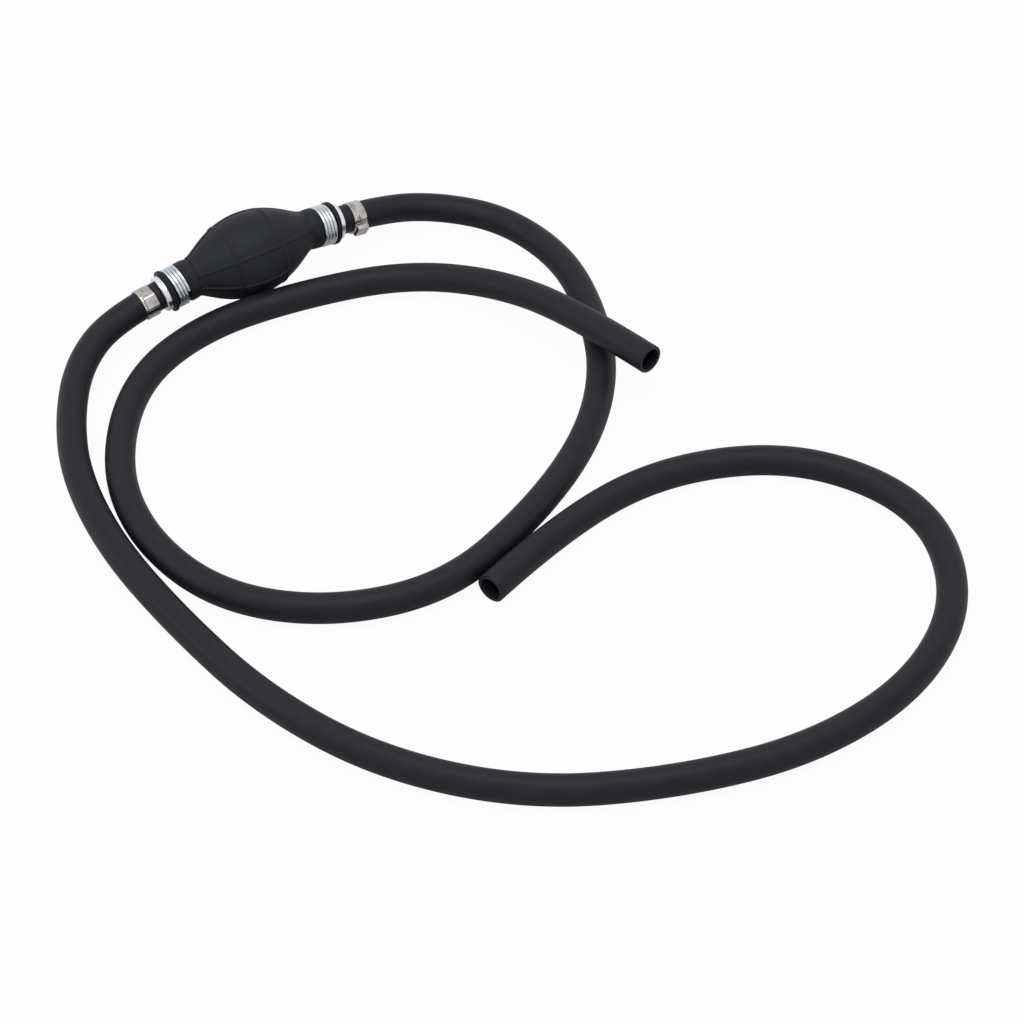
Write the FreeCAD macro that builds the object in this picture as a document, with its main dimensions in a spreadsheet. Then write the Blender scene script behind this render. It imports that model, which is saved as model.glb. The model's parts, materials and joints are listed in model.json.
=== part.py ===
import FreeCAD, Part
import math
import os
from collections import namedtuple

import Sketcher

# Hand siphon: a rubber squeeze bulb with a check valve in each neck and a hose on each side.
# Millimetres and degrees. +X runs along the bulb from the inlet to the outlet, +Z is up, and
# the origin is on the floor under the middle of the bulb.

SIZES = (
    ("belly_radius", 20.25, "bulb, outside, at its middle"),
    ("belly_half_length", 30.0, "middle of the bulb to the bend of a neck"),
    ("crown_half_length", 22.5, "middle of the bulb to the end of its crowned part"),
    ("crown_drop", 6.2, "how much smaller the bulb's radius is there"),
    ("belly_wall", 2.6, "rubber wall of the bulb"),
    ("throat_wall", 2.8, "rubber wall where the bulb meets its neck"),
    ("throat_inset", 1.6, "from the neck's bend back to the mouth of the cavity"),
    ("mouth_step", 0.4, "mouth of the cavity wider than the neck's bore, on the radius"),
    ("rib_height", 0.55, "ribs along the bulb stand this far off it"),
    ("rib_width", 1.9, "width of every rib"),
    ("hoop_height", 0.45, "hoop ribs stand this far off the bulb"),
    ("rib_count", 7, "ribs along the bulb"),
    ("rib_turn", 53.0, "first of them round from straight up, towards the hoses, in degrees"),
    ("rib_spread", 270.0, "from the first to the last of them, which leaves a plain panel on top"),
    ("rib_fade", 0.1, "ribs stand this far off the bulb at its ends"),
    ("inlet_hoop_offset", 13.2, "middle of the bulb to its hoop rib on the inlet's side"),
    ("outlet_hoop_offset", 10.8, "middle of the bulb to its hoop rib on the outlet's side"),
    ("droop", 8.0, "each neck points this far down, degrees"),
    ("neck_root", 1.2, "neck's solid reaches this far back into the bulb"),
    ("neck_bore_radius", 6.8, "bore of the neck, which grips the valve body"),
    ("waist_step", 0.4, "neck thinner than the bulb's end before its collar, on the radius"),
    ("collar_start", 0.2, "bend of the neck to its collar"),
    ("collar_length", 7.0, "collar beside the bulb"),
    ("collar_radius", 10.0, "collar, outside"),
    ("collar_rounding", 0.5, "rounded edge of the collar"),
    ("seat_radius", 9.0, "round seat under the wire clamp"),
    ("lip_rise", 1.6, "lip stands this far above the seat"),
    ("lip_length", 2.6, "width of the lip"),
    ("lip_rounding", 0.7, "rounded edges of the lip"),
    ("wire_diameter", 1.15, "wire of the wire clamp"),
    ("wire_pitch", 1.58, "from one turn to the next"),
    ("wire_turns", 3.5, "turns of the wire clamp"),
    ("wire_bite", 0.05, "wire presses this far into its seat"),
    ("wire_side_gap", 0.16, "free seat on each side of the wire clamp"),
    ("inlet_wire_start", 201.0, "where the inlet clamp's wire starts, degrees round the neck"),
    ("outlet_wire_start", 46.0, "where the outlet clamp's wire starts"),
    ("flange_length", 3.1, "flange ring of the valve body"),
    ("flange_radius", 8.9, "flange ring, outside"),
    ("flange_chamfer", 0.5, "edges of the flange ring"),
    ("nipple_length", 14.9, "spigot inside the hose"),
    ("nipple_clearance", 0.15, "spigot inside the hose's bore, on the radius"),
    ("nipple_wall", 1.5, "wall of the spigot"),
    ("barb_height", 0.4, "barbs stand this far off the spigot"),
    ("barb_count", 3, "barbs on the spigot"),
    ("tail_length", 17.8, "valve body inside the neck"),
    ("tail_wall", 1.6, "wall round the valve chamber"),
    ("chamber_depth", 15.0, "depth of the valve chamber from the tail's end"),
    ("clip_inset", 1.0, "from the tail's end to the circlip's groove"),
    ("clip_depth", 0.5, "depth of the circlip's groove"),
    ("clip_thickness", 0.9, "thickness of the circlip"),
    ("clip_play", 0.1, "groove wider than the circlip"),
    ("clip_band", 1.3, "width of the circlip's ring"),
    ("clip_opening", 35.0, "half the circlip's open angle, degrees"),
    ("cartridge_clearance", 0.05, "valve parts inside the chamber, on the radius"),
    ("seat_thickness", 2.0, "thickness of the valve's seat ring"),
    ("seat_bore_radius", 2.9, "bore of the seat ring"),
    ("seat_chamfer", 0.5, "lead-in of that bore"),
    ("seal_gap", 0.05, "poppet's seal off the seat ring at rest"),
    ("seal_wire", 1.0, "thickness of the poppet's seal"),
    ("seal_proud", 0.25, "seal stands this far out of the poppet"),
    ("seal_overlap", 0.15, "seal lies this far outside the seat's bore"),
    ("head_rim", 0.25, "poppet's rim outside its seal"),
    ("head_thickness", 1.6, "thickness of the poppet's head"),
    ("stem_radius", 1.2, "stem of the poppet"),
    ("stem_clearance", 0.15, "stem inside the guide, on the radius"),
    ("stem_short", 1.0, "stem ends this far inside the guide at rest"),
    ("guide_thickness", 2.5, "thickness of the stem's guide"),
    ("guide_hole_radius", 1.0, "flow holes in the guide"),
    ("guide_hole_count", 6, "flow holes in the guide"),
    ("guide_rim", 0.95, "guide's rim outside its flow holes"),
    ("spring_wire", 0.25, "wire of the valve spring"),
    ("spring_turns", 6.0, "turns of the valve spring"),
    ("spring_clearance", 0.85, "spring outside the stem, on the radius"),
    ("spring_end_gap", 0.05, "spring off the faces that hold it"),
    ("hose_diameter", 14.0, "hose, outside"),
    ("hose_bore", 10.5, "hose, inside"),
    ("hose_lead", 26.1, "from the flange to the first bend's point"),
    ("inlet_band_start", 3.9, "from the flange to the inlet's ear clamp"),
    ("outlet_band_start", 5.8, "from the flange to the outlet's ear clamp"),
    ("band_width", 7.0, "width of the ear clamp"),
    ("band_thickness", 0.5, "strip of the ear clamp"),
    ("band_lap_angle", 150.0, "end of the lapped strip, degrees from the ear"),
    ("ear_width", 7.4, "ear across its feet"),
    ("ear_length", 6.0, "ear along the hose, from one edge of the strip"),
    ("ear_taper", 0.5, "ear's top narrower on each side"),
    ("ear_height", 1.9, "ear above the strip"),
    ("inlet_ear_turn", 129.0, "where the inlet clamp's ear points, degrees round the hose"),
    ("outlet_ear_turn", 117.0, "where the outlet clamp's ear points"),
)

# The hoses' routes: points chosen by hand, after the first two, which stand in line with the neck.
INLET_ROUTE = (
    (-101, -14, 10.5), (-121, -41, 7.5), (-137, -77, 7.0), (-145, -126, 7.0), (-143, -181, 7.0),
    (-135, -242, 7.0), (-112, -300, 7.0), (-70, -348, 7.0), (-15, -377, 7.0), (45, -394, 7.0),
    (105, -389, 7.0), (153, -359, 7.0), (175, -306, 7.0), (150, -251, 7.0), (97, -223, 7.0),
    (38, -223, 7.0), (-18, -241, 7.0),
)
OUTLET_ROUTE = (
    (103, -9, 9.5), (126, -33, 7.5), (134, -72, 7.0), (124, -113, 7.0), (104, -153, 7.0),
    (70, -187, 7.0), (22, -213, 7.0), (-33, -230, 7.0), (-84, -215, 7.0), (-120, -180, 7.0),
    (-131, -131, 7.0), (-120, -82, 7.0), (-84, -36, 7.0), (-38, -20, 7.0), (14, -26, 7.0),
    (64, -42, 7.5), (94, -79, 14.0), (107, -125, 22.0), (116, -172, 24.0),
)

# Places along a neck, measured outwards from the neck's bend.
SEAT_START = "(Sizes.collar_start + Sizes.collar_length)"
WIRE_LENGTH = "(Sizes.wire_pitch * Sizes.wire_turns + Sizes.wire_diameter)"
LIP_START = f"({SEAT_START} + {WIRE_LENGTH} + 2 * Sizes.wire_side_gap)"
NECK_END = f"({LIP_START} + Sizes.lip_length)"
FLANGE_END = f"({NECK_END} + Sizes.flange_length)"
NIPPLE_END = f"({FLANGE_END} + Sizes.nipple_length)"
TAIL_END = f"({NECK_END} - Sizes.tail_length)"
SHOULDER = f"({TAIL_END} + Sizes.chamber_depth)"
CLIP_START = f"({TAIL_END} + Sizes.clip_inset)"
STACK_START = f"({CLIP_START} + Sizes.clip_thickness + Sizes.clip_play)"
BAND_MIDDLE = {
    "inlet": f"({FLANGE_END} + Sizes.inlet_band_start + Sizes.band_width / 2)",
    "outlet": f"({FLANGE_END} + Sizes.outlet_band_start + Sizes.band_width / 2)",
}

# Places in a valve, measured from its seat ring's outer face the way the flow goes.
STACK_LENGTH = f"({SHOULDER} - {STACK_START})"
SEAL_FACE = "(Sizes.seat_thickness + Sizes.seal_gap)"
HEAD_START = f"({SEAL_FACE} + Sizes.seal_proud)"
HEAD_END = f"({HEAD_START} + Sizes.head_thickness)"
GUIDE_START = f"({STACK_LENGTH} - Sizes.guide_thickness)"

# Radii that follow from others.
AXIS_HEIGHT = "(Sizes.belly_radius + Sizes.rib_height)"
THROAT_RADIUS = "(Sizes.neck_bore_radius + Sizes.throat_wall)"
WAIST_RADIUS = f"({THROAT_RADIUS} - Sizes.waist_step)"
MOUTH_RADIUS = "(Sizes.neck_bore_radius + Sizes.mouth_step)"
LIP_RADIUS = "(Sizes.seat_radius + Sizes.lip_rise)"
CHAMBER_RADIUS = "(Sizes.neck_bore_radius - Sizes.tail_wall)"
GROOVE_RADIUS = f"({CHAMBER_RADIUS} + Sizes.clip_depth)"
CARTRIDGE_RADIUS = f"({CHAMBER_RADIUS} - Sizes.cartridge_clearance)"
SEAL_RADIUS = "(Sizes.seat_bore_radius + Sizes.seal_overlap + Sizes.seal_wire / 2)"
HEAD_RADIUS = f"({SEAL_RADIUS} + Sizes.seal_wire / 2 + Sizes.head_rim)"
NIPPLE_RADIUS = "(Sizes.hose_bore / 2 - Sizes.nipple_clearance)"
BAND_INNER = "(Sizes.hose_diameter / 2)"
BAND_OUTER = f"({BAND_INNER} + Sizes.band_thickness)"
LAP_OUTER = f"({BAND_OUTER} + Sizes.band_thickness)"

# The crown of the bulb is an arc through its middle and the crown's ends.
CROWN_RADIUS = "((Sizes.crown_half_length ^ 2 + Sizes.crown_drop ^ 2) / (2 * Sizes.crown_drop))"
CROWN_CENTRE = f"({CROWN_RADIUS} - Sizes.belly_radius)"
CROWN_SINE = f"(Sizes.crown_half_length / {CROWN_RADIUS})"
CROWN_COSINE = f"(1 - Sizes.crown_drop / {CROWN_RADIUS})"

# A neck's own frame has +X outwards along the neck. The inlet's is turned over, about Y.
NECK_FRAME = {
    "inlet": f"placement(vector(-Sizes.belly_half_length; 0; {AXIS_HEIGHT}); "
             "rotation(vector(0; 1; 0); 180 - Sizes.droop))",
    "outlet": f"placement(vector(Sizes.belly_half_length; 0; {AXIS_HEIGHT}); "
              "rotation(vector(0; 1; 0); Sizes.droop))",
}
# The valves let water through one way: into the bulb at the inlet, out of it at the outlet.
VALVE_FRAME = {
    "inlet": f"{NECK_FRAME['inlet']} * placement(vector({SHOULDER}; 0; 0); "
             "rotation(vector(0; 0; 1); 180))",
    "outlet": f"{NECK_FRAME['outlet']} * placement(vector({STACK_START}; 0; 0); "
              "rotation(vector(0; 0; 1); 0))",
}
# Both ear clamps lap upwards from the ear, so one of them is swapped end for end.
CLAMP_SWAP = {"inlet": 180, "outlet": 0}
SIDES = ("inlet", "outlet")

Corner = namedtuple("Corner", "along across radius bulge", defaults=(None, 1))

document = FreeCAD.newDocument("siphon_bulb_pump")
sheet = document.addObject("Spreadsheet::Sheet", "Sizes")
for row, (alias, size, note) in enumerate(SIZES, start=1):
    sheet.set(f"A{row}", alias)
    sheet.set(f"B{row}", str(size))
    sheet.set(f"C{row}", note)
    sheet.setAlias(f"B{row}", alias)
document.recompute()


def number(expression):
    """Value of an expression on the sheet."""
    return float(sheet.evalExpression(expression))


def origin_feature(body, role):
    """A body's own origin plane or axis."""
    return next(item for item in body.Origin.OriginFeatures if item.Role == role)


def new_body(name):
    body = document.addObject("PartDesign::Body", name)
    body.Label = name
    return body


def new_sketch(body, name, plane="XZ_Plane"):
    sketch = body.newObject("Sketcher::SketchObject", name)
    sketch.AttachmentSupport = [(origin_feature(body, plane), "")]
    sketch.MapMode = "FlatFace"
    return sketch


def bind(sketch, constraint, name, expression):
    """Adds a named constraint whose value follows the sheet."""
    index = sketch.addConstraint(constraint)
    sketch.renameConstraint(index, name)
    sketch.setExpression(f"Constraints.{name}", expression)


def arc_between(start, end, radius, bulge):
    """Arc under a half circle from start to end. bulge 1 runs anticlockwise, -1 clockwise."""
    chord = end - start
    middle = (start + end) * 0.5
    rise = math.sqrt(max(radius ** 2 - (chord.Length / 2) ** 2, 0.0))
    inward = FreeCAD.Vector(-chord.y, chord.x, 0).normalize() * bulge
    centre = middle + inward * rise
    first, second = (start, end) if bulge > 0 else (end, start)
    angles = [math.atan2(point.y - centre.y, point.x - centre.x) for point in (first, second)]
    if angles[1] <= angles[0]:
        angles[1] += 2 * math.pi
    circle = Part.Circle(centre, FreeCAD.Vector(0, 0, 1), radius)
    return Part.ArcOfCircle(circle, angles[0], angles[1])


def draw_outline(sketch, corners, tag=""):
    """Closed outline through the corners, each edge ending at its corner."""
    places = [FreeCAD.Vector(number(c.along), number(c.across), 0) for c in corners]
    edges = []
    for index, corner in enumerate(corners):
        start, end = places[index - 1], places[index]
        if corner.radius is None:
            edges.append((sketch.addGeometry(Part.LineSegment(start, end)), 1, 2))
            continue
        radius = number(corner.radius)
        arc = sketch.addGeometry(arc_between(start, end, radius, corner.bulge))
        ends = (1, 2) if corner.bulge > 0 else (2, 1)
        edges.append((arc, *ends))
        bind(sketch, Sketcher.Constraint("Radius", arc, radius), f"arc{tag}{index}", corner.radius)
    for index, corner in enumerate(corners):
        edge, _, end = edges[index]
        after, start, _ = edges[(index + 1) % len(edges)]
        sketch.addConstraint(Sketcher.Constraint("Coincident", edge, end, after, start))
        place = places[index]
        bind(sketch, Sketcher.Constraint("DistanceX", edge, end, place.x),
             f"along{tag}{index}", corner.along)
        bind(sketch, Sketcher.Constraint("DistanceY", edge, end, place.y),
             f"across{tag}{index}", corner.across)


def draw_circle(sketch, along, across, radius, tag=""):
    centre = FreeCAD.Vector(number(along), number(across), 0)
    size = number(radius)
    circle = sketch.addGeometry(Part.Circle(centre, FreeCAD.Vector(0, 0, 1), size))
    bind(sketch, Sketcher.Constraint("DistanceX", circle, 3, centre.x), f"along{tag}", along)
    bind(sketch, Sketcher.Constraint("DistanceY", circle, 3, centre.y), f"across{tag}", across)
    bind(sketch, Sketcher.Constraint("Radius", circle, size), f"radius{tag}", radius)


def turn_profile(body, sketch, name, kind="Revolution"):
    """Turns a sketch about its own long axis, to add or to cut."""
    feature = body.newObject(f"PartDesign::{kind}", name)
    feature.Profile = sketch
    feature.ReferenceAxis = (sketch, ["H_Axis"])
    feature.Angle = 360
    document.recompute()
    return feature


def pad_profile(body, sketch, name, length, kind="Pad"):
    """Pads or cuts a sketch equally to both sides of its plane."""
    feature = body.newObject(f"PartDesign::{kind}", name)
    feature.Profile = sketch
    feature.SideType = "Symmetric"
    feature.setExpression("Length", length)
    document.recompute()
    return feature


def round_pattern(body, feature, name, count, spread="360"):
    pattern = body.newObject("PartDesign::PolarPattern", name)
    pattern.Originals = [feature]
    pattern.Axis = (origin_feature(body, "X_Axis"), [""])
    pattern.setExpression("Angle", spread)
    pattern.setExpression("Occurrences", count)
    body.Tip = pattern
    document.recompute()
    return pattern


def bulb_outline(grow, end_along, end_across, floor):
    """Closed meridian of the bulb, anticlockwise, down to floor."""
    side = f"(Sizes.crown_half_length + ({grow}) * {CROWN_SINE})"
    top = f"(Sizes.belly_radius - Sizes.crown_drop + ({grow}) * {CROWN_COSINE})"
    return [
        Corner(f"-({end_along})", floor),
        Corner(end_along, floor),
        Corner(end_along, end_across),
        Corner(side, top),
        Corner(f"-{side}", top, f"({CROWN_RADIUS} + ({grow}))"),
        Corner(f"-({end_along})", end_across),
    ]


def neck_outline():
    """Half section of a neck's rubber, from its axis outwards, anticlockwise."""
    rounding = "Sizes.collar_rounding"
    lip = "Sizes.lip_rounding"
    return [
        Corner("-Sizes.neck_root", "0"),
        Corner(NECK_END, "0"),
        Corner(NECK_END, f"{LIP_RADIUS} - {lip}"),
        Corner(f"{NECK_END} - {lip}", LIP_RADIUS, lip),
        Corner(f"{LIP_START} + {lip}", LIP_RADIUS),
        Corner(LIP_START, f"{LIP_RADIUS} - {lip}", lip),
        Corner(LIP_START, "Sizes.seat_radius"),
        Corner(SEAT_START, "Sizes.seat_radius"),
        Corner(SEAT_START, f"Sizes.collar_radius - {rounding}"),
        Corner(f"{SEAT_START} - {rounding}", "Sizes.collar_radius", rounding),
        Corner(f"Sizes.collar_start + {rounding}", "Sizes.collar_radius"),
        Corner("Sizes.collar_start", f"Sizes.collar_radius - {rounding}", rounding),
        Corner("Sizes.collar_start", WAIST_RADIUS),
        Corner("-Sizes.neck_root", WAIST_RADIUS),
    ]


def on_neck(sketch, side):
    """Lays a sketch of the bulb along one of its necks."""
    sign = "-" if side == "inlet" else ""
    angle = "180 + Sizes.droop" if side == "inlet" else "-Sizes.droop"
    sketch.setExpression("AttachmentOffset",
                         f"placement(vector({sign}Sizes.belly_half_length; 0; 0); "
                         f"rotation(vector(0; 0; 1); {angle}))")


def make_squeeze_bulb():
    body = new_body("squeeze_bulb")
    sketch = new_sketch(body, "belly_section")
    draw_outline(sketch, bulb_outline("0", "Sizes.belly_half_length", THROAT_RADIUS, "0"))
    turn_profile(body, sketch, "belly")
    for side in SIDES:
        sketch = new_sketch(body, f"{side}_neck_section")
        on_neck(sketch, side)
        draw_outline(sketch, neck_outline())
        turn_profile(body, sketch, f"{side}_neck")
    sketch = new_sketch(body, "hoop_sections")
    bead = "(Sizes.rib_width / 2)"
    for side, sign in (("inlet", "-"), ("outlet", "")):
        offset = f"Sizes.{side}_hoop_offset"
        surface = f"(sqrt({CROWN_RADIUS} ^ 2 - {offset} ^ 2) - {CROWN_CENTRE})"
        draw_circle(sketch, f"{sign}{offset}",
                    f"{surface} + Sizes.hoop_height - {bead}", bead, side)
    turn_profile(body, sketch, "hoop_ribs")
    sketch = new_sketch(body, "rib_section")
    draw_outline(sketch, bulb_outline("Sizes.rib_height", "Sizes.belly_half_length",
                                      f"{THROAT_RADIUS} + Sizes.rib_fade",
                                      "Sizes.neck_bore_radius / 2"))
    sketch.setExpression("AttachmentOffset",
                         "placement(vector(0; 0; 0); rotation(vector(1; 0; 0); Sizes.rib_turn))")
    rib = pad_profile(body, sketch, "long_rib", "Sizes.rib_width")
    round_pattern(body, rib, "long_ribs", "Sizes.rib_count", "Sizes.rib_spread")
    sketch = new_sketch(body, "cavity_section")
    draw_outline(sketch, bulb_outline("-Sizes.belly_wall",
                                      "Sizes.belly_half_length - Sizes.throat_inset",
                                      MOUTH_RADIUS, "0"))
    turn_profile(body, sketch, "cavity", "Groove")
    for side in SIDES:
        sketch = new_sketch(body, f"{side}_bore_section")
        on_neck(sketch, side)
        draw_outline(sketch, [
            Corner("-2 * Sizes.throat_inset", "0"),
            Corner(NECK_END, "0"),
            Corner(NECK_END, "Sizes.neck_bore_radius"),
            Corner("-2 * Sizes.throat_inset", "Sizes.neck_bore_radius"),
        ])
        turn_profile(body, sketch, f"{side}_bore", "Groove")
    body.setExpression("Placement", f"placement(vector(0; 0; {AXIS_HEIGHT}); "
                                    "rotation(vector(0; 0; 1); 0))")
    return body


def valve_body_outline():
    """Half section of a valve body in its neck's frame, anticlockwise."""
    chamfer = "Sizes.flange_chamfer"
    bore = f"({NIPPLE_RADIUS} - Sizes.nipple_wall)"
    corners = [
        Corner(TAIL_END, CHAMBER_RADIUS),
        Corner(CLIP_START, CHAMBER_RADIUS),
        Corner(CLIP_START, GROOVE_RADIUS),
        Corner(STACK_START, GROOVE_RADIUS),
        Corner(STACK_START, CHAMBER_RADIUS),
        Corner(SHOULDER, CHAMBER_RADIUS),
        Corner(SHOULDER, bore),
        Corner(NIPPLE_END, bore),
    ]
    count = int(number("Sizes.barb_count"))
    step = "(Sizes.nipple_length / (Sizes.barb_count + 1))"
    for barb in range(count):
        corners += [
            Corner(f"{NIPPLE_END} - {barb} * {step}", NIPPLE_RADIUS),
            Corner(f"{NIPPLE_END} - {barb + 1} * {step}", f"{NIPPLE_RADIUS} + Sizes.barb_height"),
        ]
    corners += [
        Corner(f"{NIPPLE_END} - {count} * {step}", NIPPLE_RADIUS),
        Corner(FLANGE_END, NIPPLE_RADIUS),
        Corner(FLANGE_END, f"Sizes.flange_radius - {chamfer}"),
        Corner(f"{FLANGE_END} - {chamfer}", "Sizes.flange_radius"),
        Corner(f"{NECK_END} + {chamfer}", "Sizes.flange_radius"),
        Corner(NECK_END, f"Sizes.flange_radius - {chamfer}"),
        Corner(NECK_END, "Sizes.neck_bore_radius"),
        Corner(TAIL_END, "Sizes.neck_bore_radius"),
    ]
    return corners


def make_valve_body(side):
    body = new_body(f"{side}_valve_body")
    sketch = new_sketch(body, f"{side}_body_section")
    draw_outline(sketch, valve_body_outline())
    turn_profile(body, sketch, f"{side}_turned_body")
    body.setExpression("Placement", NECK_FRAME[side])
    return body


def make_seat_ring(side):
    body = new_body(f"{side}_seat_ring")
    sketch = new_sketch(body, f"{side}_seat_section")
    draw_outline(sketch, [
        Corner("0", "Sizes.seat_bore_radius + Sizes.seat_chamfer"),
        Corner("Sizes.seat_chamfer", "Sizes.seat_bore_radius"),
        Corner("Sizes.seat_thickness", "Sizes.seat_bore_radius"),
        Corner("Sizes.seat_thickness", CARTRIDGE_RADIUS),
        Corner("0", CARTRIDGE_RADIUS),
    ])
    turn_profile(body, sketch, f"{side}_seat")
    body.setExpression("Placement", VALVE_FRAME[side])
    return body


def make_poppet(side):
    body = new_body(f"{side}_poppet")
    sketch = new_sketch(body, f"{side}_poppet_section")
    stem_end = f"{STACK_LENGTH} - Sizes.stem_short"
    groove_end = f"{SEAL_FACE} + Sizes.seal_wire"
    draw_outline(sketch, [
        Corner(HEAD_START, "0"),
        Corner(stem_end, "0"),
        Corner(stem_end, "Sizes.stem_radius"),
        Corner(HEAD_END, "Sizes.stem_radius"),
        Corner(HEAD_END, HEAD_RADIUS),
        Corner(HEAD_START, HEAD_RADIUS),
        Corner(HEAD_START, f"{SEAL_RADIUS} + Sizes.seal_wire / 2"),
        Corner(groove_end, f"{SEAL_RADIUS} + Sizes.seal_wire / 2"),
        Corner(groove_end, f"{SEAL_RADIUS} - Sizes.seal_wire / 2"),
        Corner(HEAD_START, f"{SEAL_RADIUS} - Sizes.seal_wire / 2"),
    ])
    turn_profile(body, sketch, f"{side}_turned_poppet")
    body.setExpression("Placement", VALVE_FRAME[side])
    return body


def make_poppet_seal(side):
    """Round seal in the poppet's groove. A torus lies across its own Z, so it is turned to X."""
    seal = document.addObject("Part::Torus", f"{side}_poppet_seal")
    seal.Label = f"{side}_poppet_seal"
    seal.setExpression("Radius1", SEAL_RADIUS)
    seal.setExpression("Radius2", "Sizes.seal_wire / 2")
    seal.setExpression("Placement", f"{VALVE_FRAME[side]} * "
                                    f"placement(vector({SEAL_FACE} + Sizes.seal_wire / 2; 0; 0); "
                                    "rotation(vector(0; 1; 0); 90))")
    return seal


def make_valve_guide(side):
    body = new_body(f"{side}_valve_guide")
    middle = f"{GUIDE_START} + Sizes.guide_thickness / 2"
    sketch = new_sketch(body, f"{side}_guide_disc", "YZ_Plane")
    sketch.setExpression("AttachmentOffset.Base.z", middle)
    draw_circle(sketch, "0", "0", CARTRIDGE_RADIUS, "rim")
    draw_circle(sketch, "0", "0", "Sizes.stem_radius + Sizes.stem_clearance", "bore")
    pad_profile(body, sketch, f"{side}_disc", "Sizes.guide_thickness")
    sketch = new_sketch(body, f"{side}_guide_hole", "YZ_Plane")
    sketch.setExpression("AttachmentOffset.Base.z", middle)
    pitch = f"({CARTRIDGE_RADIUS} - Sizes.guide_rim - Sizes.guide_hole_radius)"
    draw_circle(sketch, pitch, "0", "Sizes.guide_hole_radius")
    hole = pad_profile(body, sketch, f"{side}_flow_hole", "2 * Sizes.guide_thickness", "Pocket")
    round_pattern(body, hole, f"{side}_flow_holes", "Sizes.guide_hole_count")
    body.setExpression("Placement", VALVE_FRAME[side])
    return body


def make_circlip(side):
    body = new_body(f"{side}_circlip")
    sketch = new_sketch(body, f"{side}_clip_outline", "YZ_Plane")
    sketch.setExpression("AttachmentOffset.Base.z", f"{STACK_START} - Sizes.clip_thickness / 2")
    outer = f"({GROOVE_RADIUS} - Sizes.cartridge_clearance)"
    inner = f"({outer} - Sizes.clip_band)"
    cosine = "cos(Sizes.clip_opening)"
    sine = "sin(Sizes.clip_opening)"
    draw_outline(sketch, [
        Corner(f"{inner} * {cosine}", f"{inner} * {sine}", inner, -1),
        Corner(f"{outer} * {cosine}", f"{outer} * {sine}"),
        Corner(f"-{outer}", "0", outer),
        Corner(f"{outer} * {cosine}", f"-{outer} * {sine}", outer),
        Corner(f"{inner} * {cosine}", f"-{inner} * {sine}"),
        Corner(f"-{inner}", "0", inner, -1),
    ])
    pad_profile(body, sketch, f"{side}_clip", "Sizes.clip_thickness")
    body.setExpression("Placement", NECK_FRAME[side])
    return body


def make_ear_clamp(side):
    """Strip clamp in its own frame: its ear points up, its strip laps over on one side."""
    body = new_body(f"{side}_ear_clamp")
    sketch = new_sketch(body, f"{side}_band_section", "YZ_Plane")
    draw_circle(sketch, "0", "0", BAND_OUTER, "outer")
    draw_circle(sketch, "0", "0", BAND_INNER, "inner")
    pad_profile(body, sketch, f"{side}_band", "Sizes.band_width")
    foot = "(Sizes.ear_width / 2)"
    within = f"(({BAND_INNER} + {BAND_OUTER}) / 2)"
    top = f"({BAND_OUTER} + Sizes.ear_height)"
    lap_end = "(Sizes.band_lap_angle)"
    sketch = new_sketch(body, f"{side}_lap_section", "YZ_Plane")
    draw_outline(sketch, [
        Corner(foot, f"sqrt({within} ^ 2 - {foot} ^ 2)"),
        Corner(f"{within} * sin({lap_end})", f"{within} * cos({lap_end})", within, -1),
        Corner(f"{LAP_OUTER} * sin({lap_end})", f"{LAP_OUTER} * cos({lap_end})"),
        Corner(foot, f"sqrt({LAP_OUTER} ^ 2 - {foot} ^ 2)", LAP_OUTER),
    ])
    pad_profile(body, sketch, f"{side}_lap", "Sizes.band_width")
    sketch = new_sketch(body, f"{side}_ear_section", "YZ_Plane")
    sketch.setExpression("AttachmentOffset.Base.z",
                         "(Sizes.band_width - Sizes.ear_length) / 2")
    shoulder = f"({foot} - Sizes.ear_taper)"
    draw_outline(sketch, [
        Corner(f"-{foot}", f"sqrt({within} ^ 2 - {foot} ^ 2)"),
        Corner(foot, f"sqrt({within} ^ 2 - {foot} ^ 2)", within, -1),
        Corner(shoulder, top),
        Corner(f"-{shoulder}", top),
    ])
    pad_profile(body, sketch, f"{side}_ear", "Sizes.ear_length")
    sketch = new_sketch(body, f"{side}_ear_hollow_section", "YZ_Plane")
    inner_foot = f"({foot} - Sizes.band_thickness)"
    inner_shoulder = f"({shoulder} - Sizes.band_thickness)"
    inner_top = f"({top} - Sizes.band_thickness)"
    draw_outline(sketch, [
        Corner(f"-{inner_foot}", f"sqrt({BAND_OUTER} ^ 2 - {inner_foot} ^ 2)"),
        Corner(inner_foot, f"sqrt({BAND_OUTER} ^ 2 - {inner_foot} ^ 2)", BAND_OUTER, -1),
        Corner(inner_shoulder, inner_top),
        Corner(f"-{inner_shoulder}", inner_top),
    ])
    pad_profile(body, sketch, f"{side}_ear_hollow", "2 * Sizes.band_width", "Pocket")
    body.setExpression("Placement", f"{NECK_FRAME[side]} * "
                                    f"placement(vector({BAND_MIDDLE[side]}; 0; 0); "
                                    f"rotation(vector(1; 0; 0); Sizes.{side}_ear_turn)) * "
                                    "placement(vector(0; 0; 0); "
                                    f"rotation(vector(0; 0; 1); {CLAMP_SWAP[side]}))")
    return body


def biarc(start, start_way, end, end_way):
    """Two arcs that leave start and reach end along the given directions."""
    chord = end - start
    ways = start_way + end_way
    bend = 2 * (1 - start_way.dot(end_way))
    reach = (-chord.dot(ways) + math.sqrt(chord.dot(ways) ** 2 + bend * chord.dot(chord))) / bend
    first = start + start_way * reach
    second = end - end_way * reach
    joint = (first + second) * 0.5
    return [arc_from(start, start_way, joint), arc_from(joint, second - first, end)]


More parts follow.
